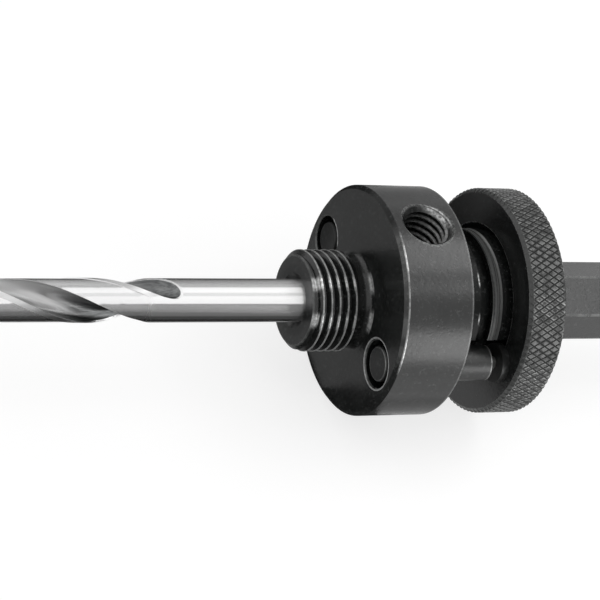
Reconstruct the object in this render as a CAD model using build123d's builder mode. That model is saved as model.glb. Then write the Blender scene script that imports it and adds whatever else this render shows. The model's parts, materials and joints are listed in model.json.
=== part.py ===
from build123d import *

import os
from math import asin, cos, pi, radians, sin, sqrt, tan

# Arbor for hole saws. One turned steel body carries the threaded nose, the collar that the saw seats
# against, the hub and the hex shank. A pilot drill is held in the nose by a set screw in the collar.
# A knurled ring slides on the hub and pushes two drive pins through the collar into the saw.
#
# Frame: millimetres. +X runs along the tool's axis from the drill's point to the shank, +Z points
# out of the set screw's hole, and the origin is on the axis at the front face of the collar.

# Nose: 5/8 inch thread with 18 turns to the inch, drawn at its major diameter
nose_length = 10.0
nose_thread_d = 15.875
nose_thread_pitch = 1.411
nose_neck_width = 2.1
nose_foot_fillet = 1.1

# Collar
collar_d = 36.2
collar_length = 12.0
collar_front_chamfer = 0.65
collar_rear_chamfer = 0.25
pin_hole_d = 7.5
pin_hole_wall = 1.45
pin_hole_rim = 0.2

# Pilot drill and its bore
drill_d = 6.7
drill_length = 85.8
drill_bore_depth = 29.6
drill_bore_clearance = 0.05
drill_seat_clearance = 0.02
drill_bore_mouth_d = 8.7
drill_end_chamfer = 0.5
flute_lead = 46.6
flute_width_angle = 81.0
web_thickness = 1.5
flute_end = -29.9
flute_run_out = 6.4
flute_end_angle = 19.2
margin_angle = 15.5
margin_height = 0.12
land_run_out = 2.4
land_cut_overreach = 1.0
point_angle = 118.0
lip_relief_angle = 12.0

# Set screw: M8, drawn at its major diameter
set_screw_x = 6.25
set_screw_d = 8.0
set_screw_length = 8.0
set_screw_chamfer = 0.8
set_screw_clearance = 0.02
set_screw_mouth_d = 8.9
set_screw_key = 4.0
set_screw_key_depth = 4.0
drill_flat_depth = 0.35
drill_flat_length = 8.0

# Hub behind the collar
hub_d = 23.2
hub_groove_depth = 1.3
front_groove_width = 2.2
rear_groove_width = 1.4
worn_land_width = 1.2
undercut_depth = 0.3
undercut_width = 0.2
hub_rear_land = 1.5
hub_rear_chamfer = 0.5

# Hex shank
shank_across_flats = 11.0
shank_length = 41.0
shank_turn = 3.8
shank_end_chamfer = 1.0
shank_end_slope = 1.7
shank_end_crown_r = 8.0

# Knurled drive ring
ring_overhang = 0.05
ring_thickness = 6.6
ring_travel = 9.9
ring_stop_gap = 0.1
ring_bore_clearance = 0.08
ring_bore_front_chamfer = 0.9
ring_bore_rear_chamfer = 0.5
ring_front_chamfer = 0.5
ring_rear_chamfer = 0.4
knurl_teeth = 98
knurl_rows = 3
knurl_depth = 0.24

# Drive pins
pin_d = 5.6
pin_recess = 0.25
pin_end_chamfer = 0.25
pin_neck_d = 1.9
pin_neck_length = 1.7
pin_flange_d = 6.2
pin_flange_thickness = 1.2
pin_tail_length = 3.6
pin_tail_clearance = 0.01

# Detent ring: split wire in the bore of the drive ring
detent_wire_d = 1.2
detent_setback = 5.3
detent_hub_clearance = 0.04
detent_groove_play = 0.1
detent_gap_angle = 14.0

# Stop ring: circlip that keeps the drive ring on the hub
stop_ring_thickness = 1.2
stop_groove_depth = 0.7
stop_ring_play = 0.05
stop_ring_clearance = 0.02
stop_ring_back_width = 3.0
stop_ring_front_width = 1.6
stop_lug_d = 4.2
stop_lug_hole_d = 2.0
stop_lug_angle = 15.0
stop_ring_gap = 2.4

# Places along the axis, worked out from the sizes above
nose_front = -nose_length
nose_chamfer = 0.65 * nose_thread_pitch
nose_r = nose_thread_d / 2
nose_neck_r = nose_r - nose_chamfer
collar_r = collar_d / 2
pin_circle_d = collar_d - pin_hole_d - 2 * pin_hole_wall
hub_r = hub_d / 2
ring_front = collar_length + ring_travel + ring_stop_gap
ring_rear = ring_front + ring_thickness
ring_d = collar_d + 2 * ring_overhang
ring_bore_r = hub_r + ring_bore_clearance
detent_rear_x = ring_front + detent_setback
detent_front_x = detent_rear_x - ring_travel
front_groove_start = detent_front_x - detent_wire_d / 2
front_groove_end = front_groove_start + front_groove_width
rear_groove_start = detent_rear_x - rear_groove_width / 2
rear_groove_end = detent_rear_x + rear_groove_width / 2
stop_ring_front = ring_rear + ring_stop_gap
stop_ring_rear = stop_ring_front + stop_ring_thickness
hub_rear = stop_ring_rear + hub_rear_land
shank_rear = hub_rear + shank_length
shank_corner_r = shank_across_flats / 2 / cos(radians(30))
shank_end_r = shank_across_flats / 2 - shank_end_chamfer
shank_crown_start = shank_rear - shank_end_slope * (shank_corner_r - shank_end_r)

drill_r = drill_d / 2
drill_bore_r = drill_r + drill_bore_clearance
drill_bore_bottom = nose_front + drill_bore_depth
drill_end_r = drill_r - drill_end_chamfer
drill_seat_x = drill_bore_bottom + (drill_bore_r - drill_end_r) / tan(radians(point_angle / 2))
drill_rear = drill_seat_x - drill_seat_clearance
drill_tip = drill_rear - drill_length
drill_flat_z = drill_r - drill_flat_depth

# Grooves in the hub: the front one and the rear one catch the detent ring, and the last holds the
# stop ring. A worn land and a shallow undercut lie behind the front groove.
hub_groove_r = hub_r - hub_groove_depth
undercut_start = front_groove_end + worn_land_width
undercut_end = undercut_start + undercut_width
undercut_r = hub_r - undercut_depth
stop_groove_r = hub_r - stop_groove_depth

turned_outline = [
    (nose_front, 0),
    (nose_front, nose_r - nose_chamfer),
    (nose_front + nose_chamfer, nose_r),
    (-nose_neck_width, nose_r),
    (-nose_neck_width, nose_neck_r),
    (0, nose_neck_r),
    (0, collar_r - collar_front_chamfer),
    (collar_front_chamfer, collar_r),
    (collar_length - collar_rear_chamfer, collar_r),
    (collar_length, collar_r - collar_rear_chamfer),
    (collar_length, hub_r),
    (front_groove_start, hub_r),
    (front_groove_start, hub_groove_r),
    (front_groove_end, hub_groove_r),
    (front_groove_end, hub_r),
    (undercut_start, hub_r),
    (undercut_start, undercut_r),
    (undercut_end, undercut_r),
    (undercut_end + undercut_depth, hub_r),
    (rear_groove_start, hub_r),
    (rear_groove_start, hub_groove_r),
    (rear_groove_end, hub_groove_r),
    (rear_groove_end, hub_r),
    (stop_ring_front - stop_ring_play, hub_r),
    (stop_ring_front - stop_ring_play, stop_groove_r),
    (stop_ring_rear, stop_groove_r),
    (stop_ring_rear, hub_r),
    (hub_rear - hub_rear_chamfer, hub_r),
    (hub_rear, hub_r - hub_rear_chamfer),
    (hub_rear, 0),
]

collar_face = Plane(origin=(0, 0, 0), x_dir=(0, 1, 0), z_dir=(-1, 0, 0))
ring_face = collar_face.offset(-ring_front)
set_screw_mouth = Plane(origin=(set_screw_x, 0, collar_r), x_dir=(1, 0, 0), z_dir=(0, 0, 1))
set_screw_plane = Plane(origin=(set_screw_x, 0, drill_flat_z), x_dir=(1, 0, 0), z_dir=(0, 0, 1))

# Arbor body, turned from one bar
with BuildPart() as arbor_body:
    with BuildSketch(Plane.XY):
        with BuildLine():
            Polyline(turned_outline, close=True)
        make_face()
        fillet(vertices().sort_by_distance((0, nose_neck_r, 0))[0], nose_foot_fillet)
    revolve(axis=Axis.X)

    # Hex shank, its end turned to a slightly crowned taper
    with BuildSketch(Plane.YZ.offset(hub_rear)):
        RegularPolygon(shank_across_flats / 2, 6, major_radius=False, rotation=90 + shank_turn)
    extrude(amount=shank_length)
    with BuildSketch(Plane.XY):
        with BuildLine():
            RadiusArc((shank_crown_start, shank_corner_r), (shank_rear, shank_end_r), shank_end_crown_r)
            Polyline(
                (shank_rear, shank_end_r),
                (shank_rear, shank_across_flats),
                (shank_crown_start, shank_across_flats),
                (shank_crown_start, shank_corner_r),
            )
        make_face()
    revolve(axis=Axis.X, mode=Mode.SUBTRACT)

    # Bore for the pilot drill, with the cone that its own drill left
    with BuildSketch(Plane.XY):
        with BuildLine():
            Polyline(
                (nose_front, 0),
                (nose_front, drill_bore_mouth_d / 2),
                (nose_front + drill_bore_mouth_d / 2 - drill_bore_r, drill_bore_r),
                (drill_bore_bottom, drill_bore_r),
                (drill_bore_bottom + drill_bore_r / tan(radians(point_angle / 2)), 0),
                close=True,
            )
        make_face()
    revolve(axis=Axis.X, mode=Mode.SUBTRACT)

    # The pins' holes run on along the hub as open half round ways
    with Locations(collar_face):
        with PolarLocations(pin_circle_d / 2, 2):
            CounterSinkHole(
                radius=pin_hole_d / 2,
                counter_sink_radius=pin_hole_d / 2 + pin_hole_rim,
                depth=hub_rear,
                counter_sink_angle=90,
            )

    # Tapped hole for the set screw, into the drill's bore
    with Locations(set_screw_mouth):
        CounterSinkHole(
            radius=set_screw_d / 2 + set_screw_clearance,
            counter_sink_radius=set_screw_mouth_d / 2,
            depth=collar_r - drill_flat_z + drill_flat_depth,
            counter_sink_angle=90,
        )


# Pilot drill. A flute is the path of a grinding wheel with a round rim: its section turns with the
# lead and, over the run-out, lifts away from the axis until it leaves the drill.
half_width = radians(flute_width_angle / 2)
web_r = web_thickness / 2
flute_r = (drill_r**2 + web_r**2 - 2 * drill_r * web_r * cos(half_width)) / (
    2 * (drill_r * cos(half_width) - web_r)
)
flute_centre_r = web_r + flute_r
flute_lift = drill_r + flute_r - flute_centre_r
wheel_r = (flute_run_out**2 + flute_lift**2) / (2 * flute_lift)
run_out_start = flute_end - flute_run_out

# Stations along the axis at which the flute's section is set: even steps from just in front of the
# point, then closer ones through the run-out to just past its end
plain_step = 1.5
run_out_step = 0.74
plain_steps = int((run_out_start - drill_tip) / plain_step) + 1
run_out_steps = int(flute_run_out / run_out_step) + 1
flute_stations = [run_out_start - plain_step * i for i in range(plain_steps, 0, -1)]
flute_stations += [run_out_start + run_out_step * i for i in range(run_out_steps + 1)]


def flute_angle(x):
    """Angle in degrees, from +Y towards +Z, of the middle of the first flute at x."""
    return 90 + flute_end_angle + (x - flute_end) * 360 / flute_lead


def flute_plane(x, turn):
    """Plane across the drill at x, with its own X axis at a flute's middle."""
    angle = radians(flute_angle(x) + turn)
    return Plane(origin=(x, 0, 0), x_dir=(0, cos(angle), sin(angle)), z_dir=(1, 0, 0))


def wheel_lift(x):
    """How far the wheel has lifted at x."""
    return wheel_r - sqrt(wheel_r**2 - max(0, x - run_out_start) ** 2)


def land_radius(x):
    """Radius of the ground land at x: early in the run-out it rises until it leaves the drill."""
    rise = 1.5 * margin_height * max(0, x - run_out_start) / land_run_out
    return drill_r - margin_height + rise


def flank_plane(turn):
    """Flank behind one lip: it falls towards the corner and, by the relief angle, behind the lip."""
    lip_angle = radians(flute_angle(drill_tip) + turn + flute_width_angle / 2) + asin(web_r / drill_r)
    along = 1 / tan(radians(point_angle / 2))
    behind = tan(radians(lip_relief_angle))
    slope_y = along * cos(lip_angle) - behind * sin(lip_angle)
    slope_z = along * sin(lip_angle) + behind * cos(lip_angle)
    return Plane(origin=(drill_tip, 0, 0), x_dir=(0, -slope_z, slope_y), z_dir=(1, -slope_y, -slope_z))


# The ground land runs from the margin a little way into the next flute
land_from = radians(flute_width_angle / 2 + margin_angle)
land_to = radians(188 - flute_width_angle / 2)
land_middle = (land_from + land_to) / 2
land_outer_r = drill_r + land_cut_overreach
land_stations = [x for x in flute_stations if x < run_out_start + land_run_out]


def land_arc(radius):
    """Arc of the ground land's angle at a radius."""
    ends = [(radius * cos(a), radius * sin(a)) for a in (land_from, land_middle, land_to)]
    return ThreePointArc(*ends)


with BuildPart() as pilot_drill:
    with BuildSketch(Plane.YZ.offset(drill_tip)):
        Circle(drill_r)
    extrude(amount=drill_length)
    chamfer(pilot_drill.edges().sort_by(Axis.X)[-1], drill_end_chamfer)

    for turn in (0, 180):
        for x in flute_stations:
            centre = flute_centre_r + wheel_lift(x)
            with BuildSketch(flute_plane(x, turn)):
                with BuildLine():
                    ThreePointArc((centre, -flute_r), (centre - flute_r, 0), (centre, flute_r))
                    Polyline(
                        (centre, flute_r),
                        (centre + flute_r, flute_r),
                        (centre + flute_r, -flute_r),
                        (centre, -flute_r),
                    )
                make_face()
        loft(mode=Mode.SUBTRACT)

        # Land behind the margin, ground down so that only the margin touches the hole's wall
        for x in land_stations:
            with BuildSketch(flute_plane(x, turn)):
                with BuildLine():
                    inner_arc = land_arc(land_radius(x))
                    outer_arc = land_arc(land_outer_r)
                    Line(inner_arc @ 0, outer_arc @ 0)
                    Line(inner_arc @ 1, outer_arc @ 1)
                make_face()
        loft(mode=Mode.SUBTRACT)

    for turn in (0, 180):
        split(bisect_by=flank_plane(turn), keep=Keep.TOP)

    # Flat for the set screw
    with BuildSketch(set_screw_plane):
        Rectangle(drill_flat_length, drill_d)
    extrude(amount=drill_d, mode=Mode.SUBTRACT)


# Set screw with a hex socket and a flat point
with BuildPart() as set_screw:
    with BuildSketch(set_screw_plane):
        Circle(set_screw_d / 2)
    extrude(amount=set_screw_length)
    chamfer(set_screw.edges().filter_by(GeomType.CIRCLE), set_screw_chamfer)
    with BuildSketch(set_screw_plane.offset(set_screw_length)):
        RegularPolygon(set_screw_key / 2, 6, major_radius=False)
    extrude(amount=-set_screw_key_depth, mode=Mode.SUBTRACT)


def knurled_blank():
    """Solid disc whose rim is a diamond knurl: pyramids between two crossing sets of grooves.

    The rim is a grid of half tooth steps round the ring and half rows along it. Peaks and groove
    crossings take turns on the grid, and each grid cell is two triangles that meet in a groove.
    """
    band_start = ring_front + ring_front_chamfer
    half_row = (ring_thickness - ring_front_chamfer - ring_rear_chamfer) / (2 * knurl_rows)
    half_tooth = pi / knurl_teeth
    peak_r = ring_d / 2
    groove_r = peak_r - knurl_depth

    def on_rim(x, radius, i):
        return Vector(x, radius * cos(i * half_tooth), radius * sin(i * half_tooth))

    def grid(i, k):
        radius = peak_r if (i + k) % 2 == 0 else groove_r
        return on_rim(band_start + k * half_row, radius, i)

    def triangle(*corners):
        return Face(Wire.make_polygon(corners, close=True))

    faces = []
    for k in range(2 * knurl_rows):
        for i in range(2 * knurl_teeth):
            a, b, c, d = grid(i, k), grid(i + 1, k), grid(i + 1, k + 1), grid(i, k + 1)
            if (i + k) % 2 == 0:
                faces += [triangle(a, b, d), triangle(b, c, d)]
            else:
                faces += [triangle(a, b, c), triangle(a, c, d)]

    # Chamfers: the zigzag edge of the knurl runs out to a plain edge with one corner a tooth
    ends = (
        (0, ring_front, groove_r - ring_front_chamfer),
        (2 * knurl_rows, ring_rear, groove_r - ring_rear_chamfer),
    )
    for k, x, radius in ends:
        rim = [on_rim(x, radius, i) for i in range(0, 2 * knurl_teeth, 2)]
        for tooth in range(knurl_teeth):
            i = 2 * tooth
            here, after = rim[tooth], rim[(tooth + 1) % knurl_teeth]
            faces.append(triangle(grid(i, k), grid(i + 1, k), here))
            faces.append(triangle(grid(i + 1, k), grid(i + 2, k), after))
            faces.append(triangle(grid(i + 1, k), after, here))
        faces.append(triangle(*rim))
    return Solid(Shell(faces))


# Drive ring. Its bore holds the groove of the detent ring.
detent_wire_r = detent_wire_d / 2
detent_centre_r = hub_r + detent_hub_clearance + detent_wire_r
detent_groove_r = detent_centre_r + detent_wire_r + detent_groove_play
detent_groove_half = detent_wire_r + detent_groove_play / 2
with BuildPart() as drive_ring:
    add(knurled_blank())
    with BuildSketch(Plane.XY):
        with BuildLine():
            Polyline(
                (ring_front, 0),
                (ring_front, ring_bore_r + ring_bore_front_chamfer),
                (ring_front + ring_bore_front_chamfer, ring_bore_r),
                (detent_rear_x - detent_groove_half, ring_bore_r),
                (detent_rear_x - detent_groove_half, detent_groove_r),
                (detent_rear_x + detent_groove_half, detent_groove_r),
                (detent_rear_x + detent_groove_half, ring_bore_r),
                (ring_rear - ring_bore_rear_chamfer, ring_bore_r),
                (ring_rear, ring_bore_r + ring_bore_rear_chamfer),
                (ring_rear, 0),
                close=True,
            )
        make_face()
    revolve(axis=Axis.X, mode=Mode.SUBTRACT)
    with Locations(ring_face):
        with PolarLocations(pin_circle_d / 2, 2):
            Hole(radius=pin_neck_d / 2 + pin_tail_clearance, depth=pin_tail_length + pin_tail_clearance)


def turned_pin(side):
    """Profile of a drive pin about its own axis: body, thin neck, flange on the ring, and tail."""
    flange_front = ring_front - pin_flange_thickness
    neck_front = flange_front - pin_neck_length
    tail_end = ring_front + pin_tail_length
    axis_y = side * pin_circle_d / 2
    outline = [
        (pin_recess, 0),
        (pin_recess, pin_d / 2 - pin_end_chamfer),
        (pin_recess + pin_end_chamfer, pin_d / 2),
        (neck_front, pin_d / 2),
        (neck_front, pin_neck_d / 2),
        (flange_front, pin_neck_d / 2),
        (flange_front, pin_flange_d / 2),
        (ring_front, pin_flange_d / 2),
        (ring_front, pin_neck_d / 2),
        (tail_end, pin_neck_d / 2),
        (tail_end, 0),
    ]
    return [(x, axis_y + r) for x, r in outline]


# Drive pins, one each side of the axis
with BuildPart() as drive_pin_left:
    with BuildSketch(Plane.XY):
        with BuildLine():
            Polyline(turned_pin(-1), close=True)
        make_face()
    revolve(axis=Axis((0, -pin_circle_d / 2, 0), (1, 0, 0)))

with BuildPart() as drive_pin_right:
    with BuildSketch(Plane.XY):
        with BuildLine():
            Polyline(turned_pin(1), close=True)
        make_face()
    revolve(axis=Axis((0, pin_circle_d / 2, 0), (1, 0, 0)))


# Detent ring: round wire, split at the top, drawn sprung open as it rides on the hub's land
with BuildPart() as detent_ring:
    with BuildSketch(Plane.XZ):
        with Locations((detent_rear_x, detent_centre_r)):
            Circle(detent_wire_r)
    revolve(axis=Axis.X, revolution_arc=360 - detent_gap_angle)


# Stop ring: flat circlip, widest opposite its gap, with a plier hole in each lug
stop_inner_r = stop_groove_r + stop_ring_clearance
stop_outer_r = stop_inner_r + (stop_ring_back_width + stop_ring_front_width) / 2
stop_offset = (stop_ring_back_width - stop_ring_front_width) / 2
stop_lug_r = stop_inner_r + stop_lug_d / 2
stop_lug_y = stop_lug_r * sin(radians(stop_lug_angle))
stop_lug_z = stop_lug_r * cos(radians(stop_lug_angle))
stop_lugs = [(-stop_lug_y, stop_lug_z), (stop_lug_y, stop_lug_z)]
with BuildPart() as stop_ring:
    with BuildSketch(Plane.YZ.offset(stop_ring_front)):
        with Locations((0, -stop_offset)):
            Circle(stop_outer_r)
        with Locations(stop_lugs):
            Circle(stop_lug_d / 2)
        Circle(stop_inner_r, mode=Mode.SUBTRACT)
        with Locations((0, stop_outer_r)):
            Rectangle(stop_ring_gap, stop_outer_r, mode=Mode.SUBTRACT)
        with Locations(stop_lugs):
            Circle(stop_lug_hole_d / 2, mode=Mode.SUBTRACT)
    extrude(amount=stop_ring_thickness)


os.makedirs("parts", exist_ok=True)
pieces = {
    "arbor_body": arbor_body,
    "pilot_drill": pilot_drill,
    "set_screw": set_screw,
    "drive_ring": drive_ring,
    "drive_pin_left": drive_pin_left,
    "drive_pin_right": drive_pin_right,
    "detent_ring": detent_ring,
    "stop_ring": stop_ring,
}
for label, piece in pieces.items():
    piece.part.label = label
    export_step(piece.part, f"parts/{label}.step")
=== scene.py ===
"""Dresses the hole saw arbor: cuts its threads, finishes every piece and sets the photograph's studio."""

import json
from math import atan2, pi, radians, tan

import bpy
from mathutils import Matrix, Vector

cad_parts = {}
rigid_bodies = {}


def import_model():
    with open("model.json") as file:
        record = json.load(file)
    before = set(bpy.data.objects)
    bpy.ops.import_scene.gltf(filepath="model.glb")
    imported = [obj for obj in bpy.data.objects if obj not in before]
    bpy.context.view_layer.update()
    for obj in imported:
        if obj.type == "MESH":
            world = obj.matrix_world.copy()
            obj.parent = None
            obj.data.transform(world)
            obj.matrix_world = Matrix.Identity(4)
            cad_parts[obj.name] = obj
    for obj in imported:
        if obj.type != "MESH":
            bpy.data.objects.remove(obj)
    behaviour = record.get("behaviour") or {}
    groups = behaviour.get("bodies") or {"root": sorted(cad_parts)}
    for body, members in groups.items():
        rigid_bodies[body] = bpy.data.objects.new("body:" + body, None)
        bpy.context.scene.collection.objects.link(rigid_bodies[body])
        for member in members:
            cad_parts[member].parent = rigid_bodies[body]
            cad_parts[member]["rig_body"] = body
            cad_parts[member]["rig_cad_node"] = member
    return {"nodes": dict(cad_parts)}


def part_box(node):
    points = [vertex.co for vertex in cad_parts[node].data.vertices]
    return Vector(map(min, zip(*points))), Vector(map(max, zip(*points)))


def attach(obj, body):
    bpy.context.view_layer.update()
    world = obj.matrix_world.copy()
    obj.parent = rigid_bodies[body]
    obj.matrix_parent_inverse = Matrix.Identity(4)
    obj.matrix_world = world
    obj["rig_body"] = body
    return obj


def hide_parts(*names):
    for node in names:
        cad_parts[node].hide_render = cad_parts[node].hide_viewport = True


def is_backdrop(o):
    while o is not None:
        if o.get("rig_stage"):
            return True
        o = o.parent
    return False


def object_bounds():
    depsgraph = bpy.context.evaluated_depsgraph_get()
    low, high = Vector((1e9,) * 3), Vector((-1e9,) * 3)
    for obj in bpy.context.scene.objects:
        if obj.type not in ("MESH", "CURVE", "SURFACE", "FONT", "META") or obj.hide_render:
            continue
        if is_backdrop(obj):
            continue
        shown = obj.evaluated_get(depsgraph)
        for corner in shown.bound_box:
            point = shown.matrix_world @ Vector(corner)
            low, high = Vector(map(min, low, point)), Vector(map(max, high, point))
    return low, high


bl_info = {
    "name": "Hole Saw Arbor",
    "version": (1, 0, 0),
    "blender": (4, 5, 0),
    "location": "3D View > Sidebar > Arbor",
    "description": "Cuts the arbor's threads, finishes its steel and sets a plain studio",
    "category": "Mesh",
}

bpy.ops.object.select_all(action="SELECT")
bpy.ops.object.delete()
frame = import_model()
CAD_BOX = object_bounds()

MM = 0.001

# Sizes from the CAD nodes' boxes. The axis of the set screw's hole stands at SCREW_X, and the pins lie on
# PIN_Y each side of the arbor's axis.
SCREW_LOW, SCREW_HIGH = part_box("set_screw")
PIN_LOW, PIN_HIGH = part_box("drive_pin_right")
RING_LOW, RING_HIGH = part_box("drive_ring")
DRILL_LOW, DRILL_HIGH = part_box("pilot_drill")
SCREW_X = (SCREW_LOW.x + SCREW_HIGH.x) / 2
PIN_Y = (PIN_LOW.y + PIN_HIGH.y) / 2
COLLAR_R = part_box("arbor_body")[1].z
DRILL_R = (DRILL_HIGH.z - DRILL_LOW.z) / 2


class ArborThreads(bpy.types.PropertyGroup):
    """Sizes of the fine threads, and how blunt the knurl is."""

    nose_radius: bpy.props.FloatProperty(
        name="Nose radius",
        description="Major radius of the nose thread",
        default=7.9375 * MM,
        unit="LENGTH",
    )
    nose_pitch: bpy.props.FloatProperty(
        name="Nose pitch",
        description="Pitch of the nose thread, 18 turns to the inch",
        default=1.411 * MM,
        unit="LENGTH",
    )
    nose_last_crest: bpy.props.FloatProperty(
        name="Last crest",
        description="Place along the axis of the last crest where the photograph shows it",
        default=-2.96 * MM,
        unit="LENGTH",
    )
    screw_radius: bpy.props.FloatProperty(
        name="Set screw radius",
        description="Major radius of the set screw's thread",
        default=4.0 * MM,
        unit="LENGTH",
    )
    screw_pitch: bpy.props.FloatProperty(
        name="Set screw pitch",
        description="Pitch of the set screw's thread",
        default=1.25 * MM,
        unit="LENGTH",
    )
    knurl_blunting: bpy.props.FloatProperty(
        name="Knurl blunting",
        description="Share of the knurl's depth that is taken off its points",
        default=0.42,
        subtype="FACTOR",
    )


def steel_colour(name, description, default):
    return bpy.props.FloatVectorProperty(name=name, description=description, subtype="COLOR", default=default)


class ArborFinish(bpy.types.PropertyGroup):
    """Colours of the steels."""

    oxide: steel_colour("Black oxide", "The blackened steel", (0.0045, 0.0050, 0.0048))
    oxide_light: steel_colour("Thin oxide", "Blackened steel under thin oxide", (0.014, 0.0152, 0.0147))
    specks: steel_colour("Specks", "Pale specks in the oxide", (0.060, 0.063, 0.062))
    # Also the colour of painted highlights on the collar's lit rim and chamfer and on the tapped hole's lit
    # crests.
    worn: steel_colour("Worn steel", "Steel where the oxide is rubbed off", (0.24, 0.244, 0.24))
    # Also the colour of painted highlights on rims, crests and edges in the highlight arcs and lit arcs.
    polish_and_highlight: steel_colour("Polished steel", "Steel where it is rubbed bright", (0.80, 0.805, 0.80))
    bright: steel_colour("Bright steel", "The drill's ground body", (0.95, 0.95, 0.95))
    land: steel_colour("Land steel", "The drill's ground land", (0.91, 0.91, 0.912))
    flute: steel_colour("Flute steel", "The drill's rougher flutes", (0.27, 0.275, 0.275))
    flute_streaks: steel_colour("Flute streaks", "Dark streaks in the flutes", (0.13, 0.134, 0.136))
    # Painted highlight: a lighter flute colour towards the drill's point.
    flute_highlight: steel_colour("Flute shine", "Flutes where they face the light", (0.52, 0.52, 0.52))
    spring: steel_colour("Spring steel", "The two spring rings", (0.06, 0.062, 0.064))
    spring_light: steel_colour("Pale spring steel", "Pale clouds on the spring rings", (0.2, 0.2, 0.205))


class ArborStage(bpy.types.PropertyGroup):
    """The studio round the arbor."""

    floor: bpy.props.FloatVectorProperty(
        name="Floor",
        description="Colour of the floor",
        subtype="COLOR",
        default=(0.35, 0.35, 0.35),
    )
    floor_glow: bpy.props.FloatProperty(
        name="Floor glow",
        description="Light that the floor gives off, so that it reads as plain white with a faint shadow",
        default=0.72,
    )
    world: bpy.props.FloatProperty(
        name="Room light",
        description="Strength of the even light from all round",
        default=0.75,
    )
    soft_box: bpy.props.FloatProperty(
        name="Soft box light",
        description="Brightness of the faces of the soft boxes, where 1 is white",
        default=3.0,
    )
    lens: bpy.props.FloatProperty(
        name="Lens",
        description="Focal length of the camera on a 36 mm sensor",
        default=145.46,
        unit="CAMERA",
    )


def select_only(obj):
    """Leaves obj alone selected and active."""
    bpy.ops.object.select_all(action="DESELECT")
    obj.hide_viewport = False
    obj.select_set(True)
    bpy.context.view_layer.objects.active = obj


def apply_modifier(obj, modifier):
    select_only(obj)
    bpy.ops.object.modifier_apply(modifier=modifier.name)


def merged_copy(node, name):
    """A closed mesh like a CAD node's, under another name."""
    select_only(frame["nodes"][node])
    bpy.ops.object.duplicate()
    copy = bpy.context.object
    copy.name = name
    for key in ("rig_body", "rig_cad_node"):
        del copy[key]
    copy.parent = None
    bpy.ops.object.mode_set(mode="EDIT")
    bpy.ops.mesh.select_all(action="SELECT")
    bpy.ops.mesh.customdata_custom_splitnormals_clear()
    bpy.ops.mesh.remove_doubles(threshold=0.001 * MM)
    bpy.ops.object.mode_set(mode="OBJECT")
    return copy


def combine(obj, tool, operation):
    """Cuts or joins tool into obj, and deletes tool."""
    modifier = obj.modifiers.new("combine", "BOOLEAN")
    modifier.operation = operation
    modifier.solver = "EXACT"
    modifier.object = tool
    apply_modifier(obj, modifier)
    bpy.data.objects.remove(tool)


def smooth(obj, angle):
    """Shades obj smooth, except at edges sharper than the angle in degrees."""
    select_only(obj)
    bpy.ops.object.shade_smooth_by_angle(angle=radians(angle))


def finish_piece(obj, material):
    obj.data.materials.clear()
    obj.data.materials.append(material)


def finish_node(name, material):
    """Gives a CAD node its finish in its own material slot."""
    for slot in frame["nodes"][name].material_slots:
        slot.material = material


# Threads. Depths, half widths and play are shares of the pitch, and flanks stand at 60 degrees to each other.
THREAD_STEPS = 96
THREAD_FLANK = tan(radians(30))
OUTER_DEPTH = 0.6134
HALF_MOUTH = 7 / 16
INNER_DEPTH = 0.5413
HALF_TIP = 1 / 8
THREAD_PLAY = 0.02
THREAD_SHARP_ANGLE = 28


def helical_bar(name, corners, pitch, turns, axis):
    """A closed bar whose four cornered section, given as (along, radius) pairs, winds round an axis."""
    bpy.ops.object.select_all(action="DESELECT")
    bpy.ops.mesh.primitive_circle_add(vertices=len(corners), radius=MM)
    bar = bpy.context.object
    bar.name = name
    for vertex, (along, radius) in zip(bar.data.vertices, corners):
        vertex.co = (along, radius, 0) if axis == "X" else (radius, 0, along)
    screw = bar.modifiers.new("winding", "SCREW")
    screw.axis = axis
    screw.screw_offset = pitch
    screw.iterations = turns
    screw.steps = THREAD_STEPS
    screw.render_steps = THREAD_STEPS
    screw.use_merge_vertices = False
    apply_modifier(bar, screw)
    bpy.ops.object.mode_set(mode="EDIT")
    bpy.ops.mesh.select_all(action="SELECT")
    bpy.ops.mesh.fill_holes(sides=len(corners))
    bpy.ops.mesh.select_all(action="SELECT")
    bpy.ops.mesh.normals_make_consistent(inside=False)
    bpy.ops.object.mode_set(mode="OBJECT")
    return bar


def thread_groove(along, radius, pitch, over):
    """Corners of the groove between two turns of an outer thread, reaching over its crests."""
    depth = OUTER_DEPTH * pitch
    half_mouth = HALF_MOUTH * pitch
    half_root = half_mouth - depth * THREAD_FLANK
    half_over = half_mouth + over * THREAD_FLANK
    return [
        (along - half_over, radius + over),
        (along - half_root, radius - depth),
        (along + half_root, radius - depth),
        (along + half_over, radius + over),
    ]


def thread_ridge(along, radius, pitch, sunk):
    """Corners of one turn of an inner thread, its foot sunk a little into the hole's wall."""
    depth = INNER_DEPTH * pitch
    play = THREAD_PLAY * pitch
    half_tip = HALF_TIP * pitch
    half_foot = half_tip + (depth + sunk) * THREAD_FLANK
    return [
        (along - half_foot + play, radius + sunk),
        (along - half_tip + play, radius - depth),
        (along + half_tip - play, radius - depth),
        (along + half_foot - play, radius + sunk),
    ]


def cut_nose_thread(body, sizes):
    """Cuts the nose thread. On the side that faces the camera, its last crest is at nose_last_crest."""
    facing = atan2(CAMERA_PLACE.z, CAMERA_PLACE.y)
    pitch = sizes.nose_pitch
    turns = 7
    last_groove = sizes.nose_last_crest + pitch / 2 - pitch * facing / (2 * pi)
    first_groove = last_groove - (turns - 1) * pitch
    corners = thread_groove(first_groove, sizes.nose_radius, pitch, 0.14 * MM)
    combine(body, helical_bar("nose_cutter", corners, pitch, turns, "X"), "DIFFERENCE")


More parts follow.
